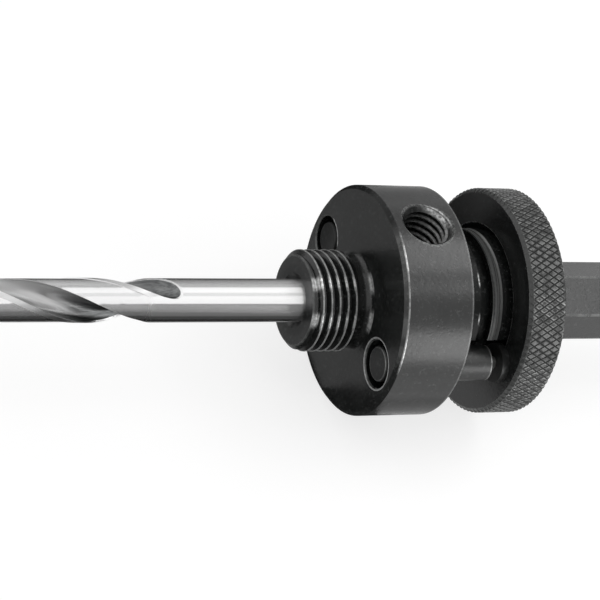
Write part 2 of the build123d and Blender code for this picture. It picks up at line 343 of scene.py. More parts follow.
def line_tapped_hole(body, sizes):
    """Adds the tapped hole's thread, its first turn cut back by the countersink at the mouth."""
    pitch = sizes.screw_pitch
    turns = 11
    corners = thread_ridge(SCREW_LOW.z + pitch, sizes.screw_radius, pitch, 0.06 * MM)
    thread = helical_bar("tapped_thread", corners, pitch, turns, "Z")
    thread.data.transform(Matrix.Translation((SCREW_X, 0, 0)))
    mouth_r = 4.45 * MM
    reach = 3 * MM
    bpy.ops.object.select_all(action="DESELECT")
    bpy.ops.mesh.primitive_cone_add(
        vertices=THREAD_STEPS,
        radius1=mouth_r - reach,
        radius2=mouth_r + reach,
        depth=2 * reach,
        location=(SCREW_X, 0, COLLAR_R),
    )
    combine(thread, bpy.context.object, "DIFFERENCE")
    combine(body, thread, "UNION")


def cut_screw_thread(screw, sizes):
    """Cuts the set screw's thread, in step with the tapped hole's."""
    pitch = sizes.screw_pitch
    turns = 9
    corners = thread_groove(SCREW_LOW.z - pitch, sizes.screw_radius, pitch, 0.12 * MM)
    cutter = helical_bar("screw_cutter", corners, pitch, turns, "Z")
    cutter.data.transform(Matrix.Translation((SCREW_X, 0, 0)))
    combine(screw, cutter, "DIFFERENCE")


def blunt_knurl(ring, share):
    """Bevels the knurl's sharp points off, by a share of their slopes."""
    bpy.ops.object.mode_set(mode="EDIT")
    bpy.ops.mesh.select_mode(type="VERT")
    bpy.ops.mesh.select_all(action="DESELECT")
    bpy.ops.object.mode_set(mode="OBJECT")
    for vertex in ring.data.vertices:
        vertex.select = vertex.co.yz.length > RING_HIGH.z - 0.01 * MM
    bpy.ops.object.mode_set(mode="EDIT")
    bpy.ops.mesh.bevel(affect="VERTICES", offset_type="PERCENT", offset_pct=100 * share)
    bpy.ops.object.mode_set(mode="OBJECT")


# Shader nodes


def add_node(tree, kind, **settings):
    node = tree.nodes.new(kind)
    for key, value in settings.items():
        setattr(node, key, value)
    return node


def plug(tree, socket, value):
    """Links a socket to a value that is a socket too, or sets it."""
    if isinstance(value, bpy.types.NodeSocket):
        tree.links.new(value, socket)
    else:
        socket.default_value = value


def maths(tree, operation, *values, clamp=False):
    node = add_node(tree, "ShaderNodeMath", operation=operation, use_clamp=clamp)
    for socket, value in zip(node.inputs, values):
        plug(tree, socket, value)
    return node.outputs[0]


def weighted(tree, *pairs):
    """The sum of values, each times its weight."""
    total, *terms = (maths(tree, "MULTIPLY", value, weight) for value, weight in pairs)
    for term in terms:
        total = maths(tree, "ADD", total, term)
    return total


def distance(tree, first, second):
    """How far a point is from an axis, by its two coordinates across it."""
    return maths(tree, "SQRT", weighted(tree, (first, first), (second, second)))


def vector_maths(tree, operation, *values):
    node = add_node(tree, "ShaderNodeVectorMath", operation=operation)
    for socket, value in zip(node.inputs, values):
        plug(tree, socket, value)
    return node.outputs[0]


def combine_xyz(tree, *values):
    node = add_node(tree, "ShaderNodeCombineXYZ")
    for socket, value in zip(node.inputs, values):
        plug(tree, socket, value)
    return node.outputs[0]


def ramp(tree, value, start, end, low=0.0, high=1.0):
    """Goes smoothly from low to high while value goes from start to end."""
    node = add_node(tree, "ShaderNodeMapRange", interpolation_type="SMOOTHSTEP")
    for socket, number in zip(node.inputs, (value, start, end, low, high)):
        plug(tree, socket, number)
    return node.outputs["Result"]


def mix_colour(tree, factor, first, second):
    node = add_node(tree, "ShaderNodeMix", data_type="RGBA")
    plug(tree, node.inputs["Factor"], factor)
    for name, value in (("A", first), ("B", second)):
        socket = next(s for s in node.inputs if s.name == name and s.type == "RGBA")
        plug(tree, socket, value)
    return next(s for s in node.outputs if s.type == "RGBA")


def blend_value(tree, factor, first, second):
    node = add_node(tree, "ShaderNodeMix", data_type="FLOAT")
    for socket, value in zip(node.inputs[:1] + node.inputs[2:4], (factor, first, second)):
        plug(tree, socket, value)
    return node.outputs[0]


def noise(tree, vector, scale, detail, rough):
    node = add_node(tree, "ShaderNodeTexNoise")
    plug(tree, node.inputs["Vector"], vector)
    plug(tree, node.inputs["Scale"], scale)
    node.inputs["Detail"].default_value = detail
    node.inputs["Roughness"].default_value = rough
    return node.outputs["Fac"]


def object_place(tree):
    return tree.nodes.new("ShaderNodeTexCoord").outputs["Object"]


def rgba(colour):
    return (*colour, 1.0)


# Shader groups: what more than one steel uses


def new_group(name, inputs, outputs):
    """An empty node group with named value sockets. inputs maps names to defaults."""
    group = bpy.data.node_groups.new(name, "ShaderNodeTree")
    for socket, default in inputs.items():
        made = group.interface.new_socket(socket, in_out="INPUT", socket_type="NodeSocketFloat")
        made.default_value = default
    for socket in outputs:
        group.interface.new_socket(socket, in_out="OUTPUT", socket_type="NodeSocketFloat")
    return group, group.nodes.new("NodeGroupInput"), group.nodes.new("NodeGroupOutput")


PLACE_NAMES = ("Along", "Across", "Up", "Radius", "Turn")
PLACE_NAMES += ("Pin Side", "From Pin", "Pin Turn", "Screw Side", "From Screw")


def make_arbor_place():
    """Where a point lies on the arbor, in millimetres and radians.

    Along, Across and Up are its object coordinates, and Radius and Turn its place about the arbor's axis.
    Pin Side, From Pin and Pin Turn do the same about the nearer pin's axis, and Screw Side and From Screw
    about the set screw's.
    """
    group, _, out = new_group("Arbor place", {}, PLACE_NAMES)
    axes = add_node(group, "ShaderNodeSeparateXYZ")
    plug(group, axes.inputs[0], object_place(group))
    x, y, z = (maths(group, "MULTIPLY", axis, 1 / MM) for axis in axes.outputs)
    pin_side = maths(group, "SUBTRACT", maths(group, "ABSOLUTE", y), PIN_Y / MM)
    screw_side = maths(group, "SUBTRACT", x, SCREW_X / MM)
    radius, turn = distance(group, y, z), maths(group, "ARCTAN2", z, y)
    from_pin, pin_turn = distance(group, pin_side, z), maths(group, "ARCTAN2", z, pin_side)
    from_screw = distance(group, screw_side, y)
    values = (x, y, z, radius, turn, pin_side, from_pin, pin_turn, screw_side, from_screw)
    for name, value in zip(PLACE_NAMES, values):
        plug(group, out.inputs[name], value)
    return group


def make_band():
    """1 between two limits and 0 outside them, with soft ends."""
    inputs = {"Value": 0.0, "From": 0.0, "To": 1.0, "Softness": 0.05}
    group, given, out = new_group("Band", inputs, ("Mask",))
    value, start, end, soft = (given.outputs[name] for name in inputs)
    before, after = maths(group, "SUBTRACT", start, soft), maths(group, "ADD", end, soft)
    rise, fall = ramp(group, value, before, start), ramp(group, value, end, after, 1.0, 0.0)
    plug(group, out.inputs["Mask"], maths(group, "MULTIPLY", rise, fall))
    return group


def make_worn_patches():
    """Breaks a wear mask into irregular patches and fine scratches."""
    inputs = {"Mask": 0.0, "Patch Size": 1.5, "Amount": 0.6}
    group, given, out = new_group("Worn patches", inputs, ("Mask",))
    mask, size, amount = (given.outputs[name] for name in inputs)
    scale = maths(group, "DIVIDE", 1 / MM, size)
    patches = noise(group, object_place(group), scale, detail=5.0, rough=0.5)
    kept = maths(group, "MULTIPLY", ramp(group, patches, 0.38, 0.62), amount)
    level = maths(group, "ADD", maths(group, "SUBTRACT", 1.0, amount), kept)
    plug(group, out.inputs["Mask"], maths(group, "MULTIPLY", mask, level))
    return group


def make_lathe_lines():
    """Fine tool marks that run round the axis, on faces and on cylinders alike."""
    inputs = {"Along": 0.0, "Radius": 0.0, "Turn": 0.0, "Lines": 9.0}
    group, given, out = new_group("Lathe lines", inputs, ("Height", "Tone"))
    along, radius, turn, lines = (given.outputs[name] for name in inputs)
    across = combine_xyz(
        group,
        maths(group, "MULTIPLY", along, lines),
        maths(group, "MULTIPLY", radius, lines),
        maths(group, "MULTIPLY", turn, 0.6),
    )
    plug(group, out.inputs["Height"], noise(group, across, scale=1.0, detail=4.0, rough=0.7))
    plug(group, out.inputs["Tone"], noise(group, across, scale=0.17, detail=2.0, rough=0.5))
    return group


def make_oxide_mottle():
    """Cloudy tone of blackened steel, and the pale specks in it."""
    group, _, out = new_group("Oxide mottle", {}, ("Cloud", "Specks", "Grain"))
    spot = object_place(group)
    plug(group, out.inputs["Cloud"], noise(group, spot, scale=260.0, detail=5.0, rough=0.6))
    plug(group, out.inputs["Grain"], noise(group, spot, scale=1900.0, detail=3.0, rough=0.6))
    specks = noise(group, spot, scale=1500.0, detail=3.0, rough=0.65)
    plug(group, out.inputs["Specks"], ramp(group, specks, 0.54, 0.72))
    return group


GROUP_MAKERS = {
    "arbor_place": make_arbor_place,
    "band": make_band,
    "worn_patches": make_worn_patches,
    "lathe_lines": make_lathe_lines,
    "oxide_mottle": make_oxide_mottle,
}
groups = {}


def use_group(tree, kind, **values):
    """Places a shader group in a material, built on its first use. Underscores stand for spaces."""
    if kind not in groups:
        groups[kind] = GROUP_MAKERS[kind]()
    node = add_node(tree, "ShaderNodeGroup", node_tree=groups[kind])
    for name, value in values.items():
        plug(tree, node.inputs[name.replace("_", " ").title()], value)
    return node.outputs


class Masks:
    """Masks over the arbor's surface, in the node tree of one material."""

    def __init__(self, tree):
        self.tree = tree
        place = use_group(tree, "arbor_place")
        self.place = {socket.name.lower().replace(" ", "_"): socket for socket in place}

    def both(self, *masks):
        """Where all masks are."""
        result = masks[0]
        for mask in masks[1:]:
            result = maths(self.tree, "MULTIPLY", result, mask)
        return result

    def either(self, *masks):
        """Where any mask is."""
        result = masks[0]
        for mask in masks[1:]:
            result = maths(self.tree, "MAXIMUM", result, mask)
        return result

    def share(self, amount, *masks):
        """Where any of the masks is, made fainter."""
        return maths(self.tree, "MULTIPLY", self.either(*masks), amount)

    def band(self, value, start, end, softness):
        settings = {"value": value, "from": start, "to": end, "softness": softness}
        return use_group(self.tree, "band", **settings)["Mask"]

    def at(self, **stretches):
        """Where each named coordinate lies in its stretch, given by its start, end and softness."""
        return self.both(*(self.band(self.place[name], *stretch) for name, stretch in stretches.items()))

    def arcs(self, *spans, softness, about="turn"):
        """Where the turn is in any of the spans, which are in degrees from +Y towards +Z."""
        turn = self.place[about]
        return self.either(*(self.band(turn, *map(radians, (*span, softness))) for span in spans))

    def highlight_arcs(self, softness):
        """Where rims and crests get painted highlights, fading quickly to both sides."""
        return maths(self.tree, "POWER", self.arcs(*HIGHLIGHT_ARCS, softness=softness), 2.0)

    def ramp(self, name, start, end, low=0.0, high=1.0):
        """Goes from low to high while the named coordinate goes from start to end."""
        return ramp(self.tree, self.place[name], start, end, low, high)

    def patches(self, mask, size, amount):
        """The mask broken into patches of a size in millimetres."""
        return use_group(self.tree, "worn_patches", mask=mask, patch_size=size, amount=amount)["Mask"]

    def lathe_lines(self, lines=9.0):
        turned = {name: self.place[name] for name in ("along", "radius", "turn")}
        return use_group(self.tree, "lathe_lines", lines=lines, **turned)


# Wear. Its places are stretches in millimetres, each with its start, end and softness, by radius from the
# axis and by distance along it from the collar's front face. Rims and crests get painted highlights in the
# arcs listed first below, in degrees from +Y towards +Z; the first two face the soft boxes, the last two the
# far side.
HIGHLIGHT_ARCS = ((108, 114), (153, 160), (-100, -94), (-30, -24))
COLLAR_EDGE = COLLAR_R / MM
PIN_HOLE_R = 3.75
SCREW_HOLE_DEPTH = (10.0, 18.0, 0.1)
HUB_R = 11.6
RING_EDGE = RING_HIGH.z / MM
RING_FRONT = RING_LOW.x / MM
RING_BACK = RING_HIGH.x / MM
KNURL_DEPTH = 0.24
NOSE_THREAD = (-9.2, -2.0, 0.05)


def collar_wear(masks):
    """Rims and chamfers of the collar: wear, painted highlights where the soft boxes catch the rims and
    chamfer, and painted shade on the chamfer's top. Yields pairs of a layer and a mask.
    """
    skin = (COLLAR_EDGE - 0.16, COLLAR_EDGE + 1, 0.1)
    arcs = masks.highlight_arcs(11)
    # Painted highlight: the front rim is rubbed and thinned only in the highlight arcs.
    front_rim = masks.share(0.4, masks.both(masks.at(radius=skin, along=(0.3, 0.72, 0.12)), arcs))
    yield "rubbed", front_rim
    yield "thin", front_rim
    yield "rubbed", masks.share(0.25, masks.at(radius=skin, along=(11.75, 12.3, 0.1)))

    # Painted highlight: the front edge line is bright only in the highlight arcs and the lit arc.
    front_line = masks.at(radius=(COLLAR_EDGE - 0.1, COLLAR_EDGE + 1, 0.06), along=(0.55, 0.72, 0.08))
    lit_arc = masks.share(0.35, masks.arcs((100, 165), softness=6))
    yield "polish_and_highlight", masks.both(front_line, masks.either(arcs, lit_arc))
    rear_line = masks.at(radius=(COLLAR_EDGE - 0.02, COLLAR_EDGE + 1, 0.03), along=(11.55, 11.7, 0.08))
    yield "polish_and_highlight", masks.share(0.14, rear_line)

    # Painted highlight: the chamfer is rubbed bright only in the lit arcs.
    lit_chamfer = masks.at(radius=(17.45, 18.1, 0.1), along=(0.05, 0.6, 0.05))
    yield "rubbed", masks.share(0.3, masks.both(lit_chamfer, masks.arcs((100, 126), (141, 160), softness=6)))
    # Painted shade on the chamfer's top, where the lights leave it dark.
    shaded_chamfer = masks.at(radius=(17.3, 18.2, 0.05), along=(0.03, 0.6, 0.03))
    yield "painted_shade", masks.share(0.75, masks.both(shaded_chamfer, masks.arcs((15, 88), softness=8)))


def pin_hole_wear(masks):
    """Edges of the pin holes: the one on -Y is rubbed all round, and the other only on one side, as a painted
    highlight where the lights catch it.
    """
    chamfer = masks.at(from_pin=(PIN_HOLE_R - 0.01, PIN_HOLE_R + 0.18, 0.04), along=(-0.1, 0.3, 0.05))
    yield "rubbed", masks.share(0.5, chamfer)
    edge = masks.at(from_pin=(PIN_HOLE_R + 0.19, PIN_HOLE_R + 0.37, 0.06), along=(-0.1, 0.1, 0.05))
    # Painted highlight on the +Y hole's edge, on the side that faces the lights.
    highlit_side = masks.arcs((88, 140), softness=14, about="pin_turn")
    all_round = masks.ramp("across", -1.0, 1.0, 0.85, 0.0)
    yield "polish_and_highlight", masks.share(0.7, masks.both(edge, masks.either(highlit_side, all_round)))


def nose_wear(masks):
    """Thread, chamfer, front face and foot of the nose, with painted highlights in the highlight arcs and
    painted shade on the face round the bore.
    """
    arcs = masks.highlight_arcs(11)
    crests = masks.at(radius=(7.86, 9.0, 0.05), along=NOSE_THREAD)
    yield "thread", masks.share(0.6, crests)
    yield "thin", masks.share(0.8, crests)
    yield "polish_and_highlight", masks.share(0.32, crests)
    # Painted highlight: crests rubbed bright in the highlight arcs.
    yield "polish_and_highlight", masks.both(masks.at(radius=(7.75, 9.0, 0.08), along=(-9.6, -2.0, 0.05)), arcs)
    yield "thread", masks.share(0.35, masks.at(radius=(6.9, 7.15, 0.12), along=(-10.2, -9.85, 0.05)))
    # Painted highlight on the chamfer and the foot's fillet, in the highlight arcs.
    chamfer = masks.both(masks.at(radius=(7.0, 7.95, 0.1), along=(-9.95, -9.0, 0.1)), arcs)
    foot = masks.both(masks.at(radius=(7.6, 8.07, 0.4), along=(-1.0, -0.01, 0.01)), masks.highlight_arcs(17))
    yield "polish_and_highlight", masks.share(0.8, foot, chamfer)
    # Painted shade on the front face round the bore, where the drill stands.
    yield "painted_shade", masks.share(0.4, masks.at(radius=(3.5, 5.2, 0.7), along=(-10.3, -9.9, 0.05)))


def screw_hole_wear(masks):
    """The tapped hole: painted highlights on its turns and countersink on the shank's side, and painted shade
    on its turns on the other side.
    """
    # Painted highlight: the turns are bright only on the side towards the shank, where the lights fall.
    lit_side = masks.ramp("screw_side", 0.3, 3.0)
    crests = masks.at(from_screw=(3.2, 3.42, 0.05), up=SCREW_HOLE_DEPTH)
    yield "thread", masks.share(0.25, masks.both(crests, lit_side))
    turns = masks.at(from_screw=(3.2, 3.6, 0.1), up=SCREW_HOLE_DEPTH)
    yield "polish_and_highlight", masks.share(0.4, masks.both(turns, lit_side))
    # Painted shade on the turns on the far side from the shank.
    shaded_turns = masks.at(from_screw=(-1.0, 4.2, 0.05), up=(8.0, 17.5, 0.2))
    yield "painted_shade", masks.both(shaded_turns, masks.ramp("screw_side", -1.0, 1.8, 1.0, 0.0))

    # Painted highlight: a bright patch on the countersink's corner towards the shank and +Y.
    corner = weighted(masks.tree, (masks.place["screw_side"], 0.75), (masks.place["across"], 0.6))
    corner = ramp(masks.tree, corner, 2.4, 3.8)
    countersink = masks.both(masks.at(from_screw=(3.5, 4.1, 0.15), up=(16.6, 18.0, 0.1)), corner)
    yield "bright", masks.share(0.8, masks.patches(countersink, size=0.5, amount=0.7))
    rim = masks.at(from_screw=(4.1, 4.42, 0.08), up=(15.0, 19.0, 0.1))
    yield "worn", masks.share(0.45, masks.patches(rim, size=0.4, amount=0.95))


def hub_wear(masks):
    """The hub's land that the detent ring rides on, its grooves' edges and the shank's corners, with painted
    highlights on the front groove's edge and painted shade over the hub behind the collar.
    """
    land = masks.at(radius=(HUB_R - 0.1, HUB_R + 0.4, 0.05), along=(19.02, 20.18, 0.05))
    streaks = ramp(masks.tree, masks.lathe_lines(4.0)["Height"], 0.35, 0.65, 0.15, 1.0)
    yield "worn", masks.share(0.72, masks.both(land, streaks))
    yield "thin", masks.share(0.8, land)
    skin = (HUB_R - 0.4, HUB_R + 0.4, 0.05)
    yield "worn", masks.share(0.7, masks.at(radius=skin, along=(20.42, 20.72, 0.04)))
    # Painted highlight: the front groove's edge is bright only in the lit arcs.
    groove_edge = masks.at(radius=skin, along=(16.6, 16.86, 0.05))
    lit_arcs = masks.arcs((112, 118), (144, 147), softness=4)
    yield "polish_and_highlight", masks.share(0.5, masks.both(groove_edge, lit_arcs))
    # Painted shade over the hub in the recess between the collar and the ring.
    yield "painted_shade", masks.at(radius=(0.0, HUB_R + 0.1, 0.05), along=(12.1, 19.0, 0.05))
    yield "rubbed", masks.share(0.4, masks.at(radius=(6.24, 7.0, 0.06), along=(31.5, 75.0, 0.1)))


def body_wear(masks):
    """Wear of the arbor's body, with its painted highlights and painted shade, from the layers that its parts
    yield.

    Rubbed places break into wide patches, and threads and rubbed-bright places into small ones. Worn and
    bright places are broken up already, and thin places and painted shade stay whole.
    """
    layers = {}
    for part in (collar_wear, pin_hole_wear, nose_wear, screw_hole_wear, hub_wear):
        for layer, mask in part(masks):
            layers.setdefault(layer, []).append(mask)
    found = {layer: masks.either(*parts) for layer, parts in layers.items()}
    rubbed = masks.patches(found["rubbed"], size=2.2, amount=0.75)
    thread = masks.share(0.75, masks.patches(found["thread"], size=0.8, amount=0.45))
    return {
        "worn": masks.either(rubbed, thread, found["worn"]),
        "thin": found["thin"],
        "polish_and_highlight": masks.either(masks.patches(found["polish_and_highlight"], size=0.5, amount=0.5), found["bright"]),
        "painted_shade": found["painted_shade"],
    }


def ring_wear(masks):
    """Rubbed places of the drive ring: the knurl's blunt points and the rims, and painted shade in the
    knurl's grooves.
    """
    blunting = bpy.context.scene.arbor_threads.knurl_blunting
    tips = RING_EDGE - blunting * KNURL_DEPTH
    edges = masks.at(radius=(tips - 0.075, tips - 0.012, 0.01))
    tops = masks.at(radius=(tips, RING_EDGE, 0.008))
    front_rim = masks.at(
        radius=(RING_EDGE - 0.85, RING_EDGE - 0.7, 0.05),
        along=(RING_FRONT - 0.1, RING_FRONT + 0.12, 0.03),
    )
    bore_rim = masks.at(radius=(12.5, 12.66, 0.05), along=(RING_FRONT - 0.1, RING_FRONT + 0.2, 0.03))
    rubbed = masks.either(
        edges,
        masks.share(0.25, tops),
        masks.share(0.3, front_rim),
        masks.share(0.6, bore_rim),
    )
    chamfer = masks.at(
        radius=(RING_EDGE - 0.75, RING_EDGE, 0.05),
        along=(RING_FRONT - 0.1, RING_FRONT + 0.5, 0.1),
    )
    # Painted shade down in the knurl's grooves.
    grooves = masks.at(
        radius=(RING_EDGE - 0.3, tips - 0.085, 0.02),
        along=(RING_FRONT + 0.7, RING_BACK - 0.7, 0.05),
    )
    patches = masks.patches(rubbed, size=0.9, amount=0.85)
    return {
        "worn": masks.either(masks.share(0.85, patches), masks.share(0.12, chamfer)),
        "thin": masks.either(masks.share(0.3, rubbed), chamfer),
        "painted_shade": masks.share(0.6, grooves),
    }


def pin_wear(masks):
    """Rubbed places of a drive pin, and painted shade on its front end, strongest on the pin on +Y, as if it
    stood in shadow in its hole.
    """
    front_rim = masks.at(from_pin=(2.52, 2.62, 0.05), along=(0.0, 0.4, 0.05))
    front_rim = masks.both(front_rim, masks.ramp("across", -1.0, 1.0, 0.9, 0.1))
    rear_rim = masks.at(from_pin=(2.72, 3.0, 0.05), along=(18.9, 19.2, 0.05))
    neck = masks.at(from_pin=(0.0, 1.0, 0.05), along=(19.12, 20.78, 0.05))
    # Painted shade on the pin's front end.
    shaded_front_face = masks.both(
        masks.at(along=(-1.0, 0.5, 0.05)),
        masks.ramp("pin_side", -2.6, 1.5, 0.5, 0.95),
        masks.ramp("across", -1.0, 1.0, 0.25, 1.0),
    )
    rubbed = masks.either(front_rim, rear_rim, masks.share(0.8, neck))
    return {
        "worn": masks.patches(rubbed, size=0.9, amount=0.5),
        "thin": masks.share(0.1, masks.at(along=(12.5, 19.2, 0.3))),
        "painted_shade": shaded_front_face,
    }


# Steels

OXIDE_GLOSS = 0.55
# Gloss of the oxide under painted shade.
SHADE_GLOSS = 0.1
BARE_ROUGHNESS = 0.36
BUMP_REACH = 0.02 * MM


def new_material(name):
    material = bpy.data.materials.new(name)
    material.use_nodes = True
    tree = material.node_tree
    return material, tree, tree.nodes["Principled BSDF"]


def bump(tree, shader, height, strength, normal=None):
    node = add_node(tree, "ShaderNodeBump")
    if normal is not None:
        plug(tree, node.inputs["Normal"], normal)
    node.inputs["Strength"].default_value = strength
    node.inputs["Distance"].default_value = BUMP_REACH
    plug(tree, node.inputs["Height"], height)
    plug(tree, shader.inputs["Normal"], node.outputs["Normal"])


def black_steel(name, wear_of=None, roughness=(0.2, 0.3)):
    """Blackened turned steel. wear_of gives the masks of its worn and thin places, of its rubbed-bright
    places, partly painted highlights, and of its painted shade.
    """
    finish = bpy.context.scene.arbor_finish
    material, tree, shader = new_material(name)
    masks = Masks(tree)
    wear = wear_of(masks) if wear_of else {}
    lines = masks.lathe_lines()
    mottle = use_group(tree, "oxide_mottle")

    tone = ramp(tree, weighted(tree, (mottle["Cloud"], 0.7), (lines["Tone"], 0.2)), 0.3, 0.65)
    tone = maths(tree, "MAXIMUM", masks.share(0.5, tone), wear.get("thin", 0.0), clamp=True)
    colour = mix_colour(tree, tone, rgba(finish.oxide), rgba(finish.oxide_light))
    colour = mix_colour(tree, masks.share(0.5, mottle["Specks"]), colour, rgba(finish.specks))
    rough = blend_value(tree, mottle["Grain"], *roughness)
    bare = []
    for layer in ("worn", "polish_and_highlight"):
        if layer in wear:
            colour = mix_colour(tree, wear[layer], colour, rgba(getattr(finish, layer)))
            bare.append(wear[layer])
    if bare:
        plug(tree, shader.inputs["Metallic"], masks.share(0.9, *bare))
        rough = blend_value(tree, masks.either(*bare), rough, BARE_ROUGHNESS)
    plug(tree, shader.inputs["Base Color"], colour)
    plug(tree, shader.inputs["Roughness"], rough)
    shader.inputs["Specular IOR Level"].default_value = OXIDE_GLOSS
    # Painted shade: the oxide reflects less under the shade mask.
    if "painted_shade" in wear:
        gloss = blend_value(tree, wear["painted_shade"], OXIDE_GLOSS, SHADE_GLOSS)
        plug(tree, shader.inputs["Specular IOR Level"], gloss)
    bump(tree, shader, weighted(tree, (lines["Height"], 0.15), (mottle["Grain"], 2.5)), 0.6)
    return material


# The drill, in millimetres: its flutes' lead, where its land runs out and a place before its point.
# GROUND_TILT is how far the ground body's shading normals lean towards the point.
FLUTE_LEAD = 46.6
LAND_END = -37.0
BEFORE_DRILL = -80.0
DRILL_EDGE = DRILL_R / MM
GROUND_TILT = 0.27


def flute_streaks(masks):
    """Streaks along the flutes, from a noise that winds with them."""
    tree = masks.tree
    along, radius, turn = (masks.place[name] for name in ("along", "radius", "turn"))
    helix = maths(tree, "SUBTRACT", turn, maths(tree, "MULTIPLY", along, 2 * pi / FLUTE_LEAD))
    across = maths(tree, "MULTIPLY", radius, maths(tree, "COSINE", helix))
    outward = maths(tree, "MULTIPLY", radius, maths(tree, "SINE", helix))
    stretched = combine_xyz(tree, across, outward, maths(tree, "MULTIPLY", along, 0.08))
    return noise(tree, stretched, scale=2.6, detail=4.0, rough=0.65)


def grinding_rings(masks):
    """Fine rings that grinding leaves round the drill."""
    tree = masks.tree
    close = combine_xyz(tree, maths(tree, "MULTIPLY", masks.place["along"], 14.0), masks.place["turn"], 0.0)
    return noise(tree, close, scale=1.0, detail=3.0, rough=0.6)


def leaning_normal(tree, upright):
    """The surface's normal leaning towards the drill's point, except where it is to stay upright."""
    lean = combine_xyz(tree, blend_value(tree, upright, -GROUND_TILT, 0.0), 0.0, 0.0)
    own = tree.nodes.new("ShaderNodeNewGeometry").outputs["Normal"]
    return vector_maths(tree, "NORMALIZE", vector_maths(tree, "ADD", own, lean))


def drill_steel():
    """Ground steel: bright margins and body, a duller land, and flutes streaked along their length, with a
    painted highlight on the flutes towards the point.
    """
    finish = bpy.context.scene.arbor_finish
    material, tree, shader = new_material("drill_bright_steel")
    masks = Masks(tree)
    flute = masks.at(radius=(-1.0, DRILL_EDGE - 0.3, 0.08))
    land = masks.at(radius=(DRILL_EDGE - 0.22, DRILL_EDGE - 0.07, 0.03), along=(BEFORE_DRILL, LAND_END, 4.0))
    margin = masks.at(
        radius=(DRILL_EDGE - 0.05, DRILL_EDGE + 1.0, 0.02),
        along=(BEFORE_DRILL, LAND_END - 2.0, 5.0),
    )
    streaks = flute_streaks(masks)
    rings = grinding_rings(masks)

    dark = ramp(tree, streaks, 0.35, 0.7)
    flute_colour = mix_colour(tree, dark, rgba(finish.flute), rgba(finish.flute_streaks))
    # Painted highlight: the flutes turn lighter towards the point.
    shine = masks.ramp("along", -51.0, -43.0, 1.0, 0.0)
    flute_colour = mix_colour(tree, shine, flute_colour, rgba(finish.flute_highlight))
    body_colour = mix_colour(tree, land, rgba(finish.bright), rgba(finish.land))
    plug(tree, shader.inputs["Base Color"], mix_colour(tree, flute, body_colour, flute_colour))
    shader.inputs["Metallic"].default_value = 1.0

    body_rough = blend_value(tree, land, blend_value(tree, rings, 0.22, 0.26), 0.27)
    body_rough = blend_value(tree, margin, body_rough, 0.5)
    flute_rough = blend_value(tree, streaks, 0.3, 0.42)
    plug(tree, shader.inputs["Roughness"], blend_value(tree, flute, body_rough, flute_rough))

    # Grinding ran round the drill, so reflections spread along it
    shader.inputs["Anisotropic"].default_value = 1.0
    shader.inputs["Anisotropic Rotation"].default_value = 0.25
    tangent = add_node(tree, "ShaderNodeTangent", direction_type="RADIAL", axis="X")
    plug(tree, shader.inputs["Tangent"], tangent.outputs["Tangent"])
    relief = blend_value(tree, flute, masks.share(0.15, rings), masks.share(0.6, streaks))
    bump(tree, shader, relief, 0.25, leaning_normal(tree, flute))
    return material


def spring_steel():
    """Phosphated spring steel, dark grey and a little glossy."""
    finish = bpy.context.scene.arbor_finish
    material, tree, shader = new_material("spring_ring_steel")
    mottle = use_group(tree, "oxide_mottle")
    pale = weighted(tree, (mottle["Cloud"], 0.8), (mottle["Specks"], 0.3))
    colour = mix_colour(tree, pale, rgba(finish.spring), rgba(finish.spring_light))
    plug(tree, shader.inputs["Base Color"], colour)
    shader.inputs["Metallic"].default_value = 0.7
    plug(tree, shader.inputs["Roughness"], blend_value(tree, mottle["Cloud"], 0.28, 0.45))
    bump(tree, shader, mottle["Cloud"], 0.2)
    return material


class ARBOR_OT_body(bpy.types.Operator):
    """Cut the nose thread and the tapped hole's thread into a copy of the body."""

    bl_idname = "arbor.body"
    bl_label = "Threaded body"

    def execute(self, context):
        body = merged_copy("arbor_body", "threaded_body")
        cut_nose_thread(body, context.scene.arbor_threads)
        line_tapped_hole(body, context.scene.arbor_threads)
        smooth(body, THREAD_SHARP_ANGLE)
        finish_piece(body, black_steel("body_black_oxide", body_wear))
        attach(body, "arbor")
        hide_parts("arbor_body")
        return {"FINISHED"}


class ARBOR_OT_set_screw(bpy.types.Operator):
    """Cut the thread into a copy of the set screw, in step with the tapped hole."""

    bl_idname = "arbor.set_screw"
    bl_label = "Set screw"

    def execute(self, context):
        screw = merged_copy("set_screw", "threaded_set_screw")
        cut_screw_thread(screw, context.scene.arbor_threads)
        smooth(screw, THREAD_SHARP_ANGLE)
        finish_piece(screw, black_steel("screw_black_oxide"))
        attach(screw, "arbor")
        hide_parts("set_screw")
        return {"FINISHED"}


class ARBOR_OT_pilot_drill(bpy.types.Operator):
    """Finish the pilot drill in bright ground steel."""

    bl_idname = "arbor.pilot_drill"
    bl_label = "Pilot drill"

    def execute(self, context):
        finish_node("pilot_drill", drill_steel())
        return {"FINISHED"}


class ARBOR_OT_drive_ring(bpy.types.Operator):
    """Blunt and finish the knurled ring, and finish its two drive pins."""

    bl_idname = "arbor.drive_ring"
    bl_label = "Drive ring and pins"

    def execute(self, context):
        ring = merged_copy("drive_ring", "knurled_ring")
        blunt_knurl(ring, context.scene.arbor_threads.knurl_blunting)
        smooth(ring, 15)
        finish_piece(ring, black_steel("ring_black_oxide", ring_wear))
        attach(ring, "drive_plate")
        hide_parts("drive_ring")
        pin_steel = black_steel("pin_black_oxide", pin_wear, roughness=(0.34, 0.42))
        for side in ("left", "right"):
            finish_node(f"drive_pin_{side}", pin_steel)
        return {"FINISHED"}


class ARBOR_OT_spring_rings(bpy.types.Operator):
    """Finish the detent ring and the stop ring."""

    bl_idname = "arbor.spring_rings"
    bl_label = "Spring rings"

    def execute(self, context):
        steel = spring_steel()
        for name in ("detent_ring", "stop_ring"):
            finish_node(name, steel)
        return {"FINISHED"}


